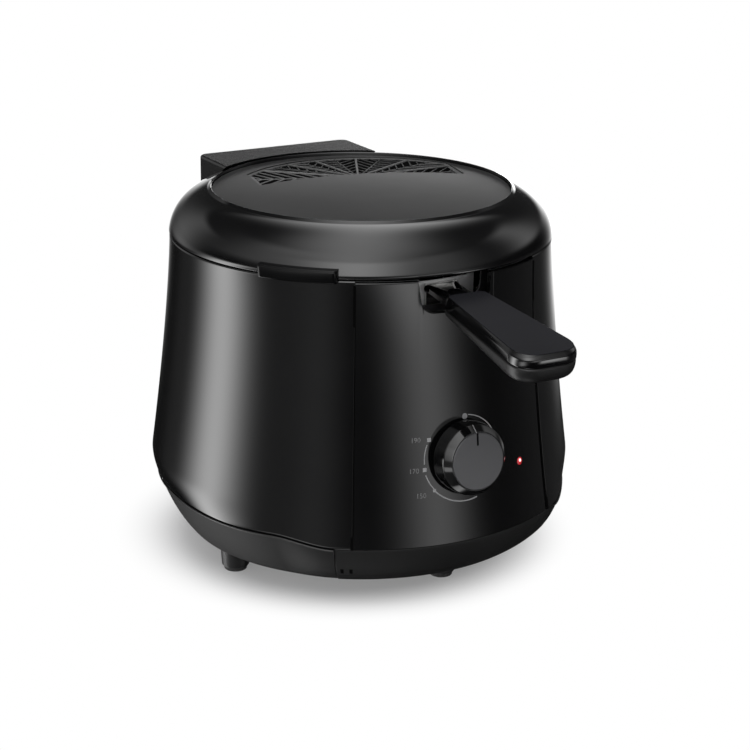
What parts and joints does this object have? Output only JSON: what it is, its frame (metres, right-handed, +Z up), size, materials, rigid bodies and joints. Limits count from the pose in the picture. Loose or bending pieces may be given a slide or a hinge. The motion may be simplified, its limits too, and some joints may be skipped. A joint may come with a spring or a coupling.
{
  "type": "deep fryer",
  "caption": "Round countertop deep fryer with a flared glossy body, hinged lid with a crescent filter vent, basket with a front handle and a thermostat dial.",
  "frame": {"origin": "middle of the box's underside: between the feet's soles, midway from the handle's end to the hinge", "axes": "+Z up, -Y to the front with the dial and the handle, +X to the right as seen from the front"},
  "size_m": [0.25, 0.3344, 0.221],
  "materials": {
    "gloss_black": "gloss",
    "satin_black": "satin",
    "satin_grey": "satin",
    "rubber": "matte",
    "steel": "brushed",
    "plated_screw": "bright",
    "pot_coating": "non-stick coated",
    "aluminium": "mill",
    "inner_plastic": "moulded",
    "brass": "plain",
    "red_lens": "clear red",
    "pale_mark": "printed",
    "filter_mat": "felted"
  },
  "bodies": {
    "housing": {"base_tray": "satin_black", "feet": "satin_black", "foot_pads": "rubber", "body_shell": "gloss_black", "front_panel": "gloss_black", "panel_screws": "plated_screw", "base_screws": "plated_screw", "oil_pot": "pot_coating", "heating_element": "steel", "element_clamp": "aluminium", "clamp_nut": "plated_screw", "heat_shield": "aluminium", "thermal_cutout": "inner_plastic", "terminal_block": "inner_plastic", "cord_inlet": "rubber", "thermostat": "inner_plastic", "thermostat_nut": "plated_screw", "capillary_sensor": "brass", "lamp_lens": "red_lens", "lamp_holder": "inner_plastic", "hinge_bracket": "satin_black", "hinge_screws": "plated_screw", "hinge_pin": "steel"},
    "lid": {"lid_shell": "gloss_black", "lid_disc": "satin_grey", "vent_grille": "satin_black", "filter_tray": "satin_black", "filter_pad": "filter_mat", "lid_liner": "steel", "liner_screws": "plated_screw", "lid_seal": "rubber", "lid_tab": "gloss_black", "hinge_cover": "satin_black"},
    "knob": {"thermostat_shaft": "steel", "knob": "satin_black", "knob_cap": "satin_grey", "knob_pointer": "pale_mark"},
    "basket": {"basket_mesh": "steel", "basket_rim": "steel", "handle_bracket": "steel", "handle_upper": "gloss_black", "handle_lower": "satin_black", "handle_screws": "plated_screw"}
  },
  "joints": [
    {"name": "lid_hinge", "type": "hinge", "parent": "housing", "child": "lid", "pos_m": [0, 0.16168, 0.198], "axis": [-1, 0, 0], "range_deg": [0, 90]},
    {"name": "knob_turn", "type": "hinge", "parent": "housing", "child": "knob", "pos_m": [0, -0.08229, 0.092], "axis": [0, 0.9925, -0.1219], "range_deg": [0, 300]},
    {"name": "basket_lift", "type": "slide", "parent": "housing", "child": "basket", "axis": [0, 0, 1], "range_m": [0, 0.008]}
  ]
}
